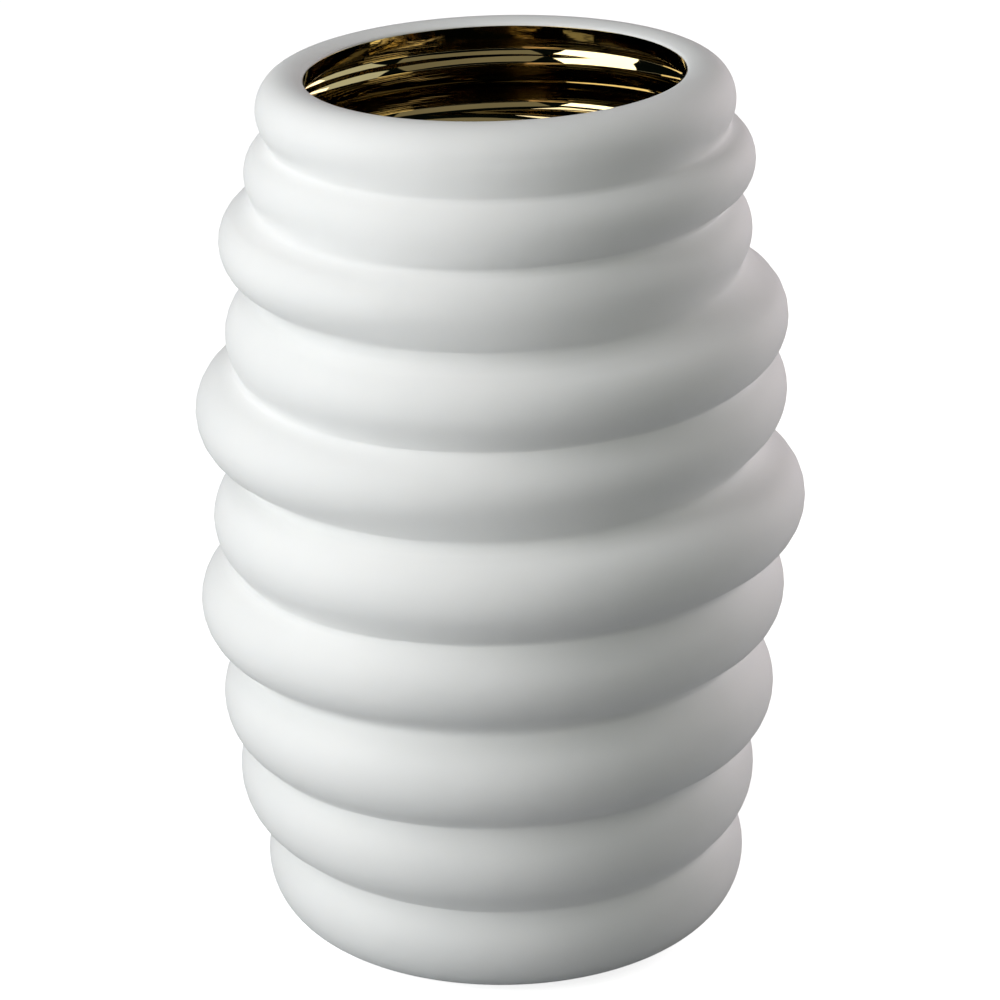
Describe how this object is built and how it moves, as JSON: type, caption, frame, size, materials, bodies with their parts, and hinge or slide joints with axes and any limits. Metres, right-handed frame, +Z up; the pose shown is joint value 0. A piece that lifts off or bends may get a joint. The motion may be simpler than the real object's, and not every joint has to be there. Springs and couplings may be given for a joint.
{
  "type": "porcelain vase",
  "caption": "Barrel-shaped porcelain vase with a wall of stacked, slightly shifted rings, a rolled lip and a glossy gold-lined inside.",
  "frame": {"origin": "middle of the foot, on the surface that the vase stands on", "axes": "+Z up along the vase, +X to the right and +Y to the back as seen from the front"},
  "size_m": [0.2035, 0.2025, 0.301],
  "materials": {
    "bisque_porcelain": "matte",
    "gold_lustre": "polished"
  },
  "bodies": {
    "root": {"porcelain_body": "bisque_porcelain", "gold_lining": "gold_lustre"}
  },
  "joints": []
}
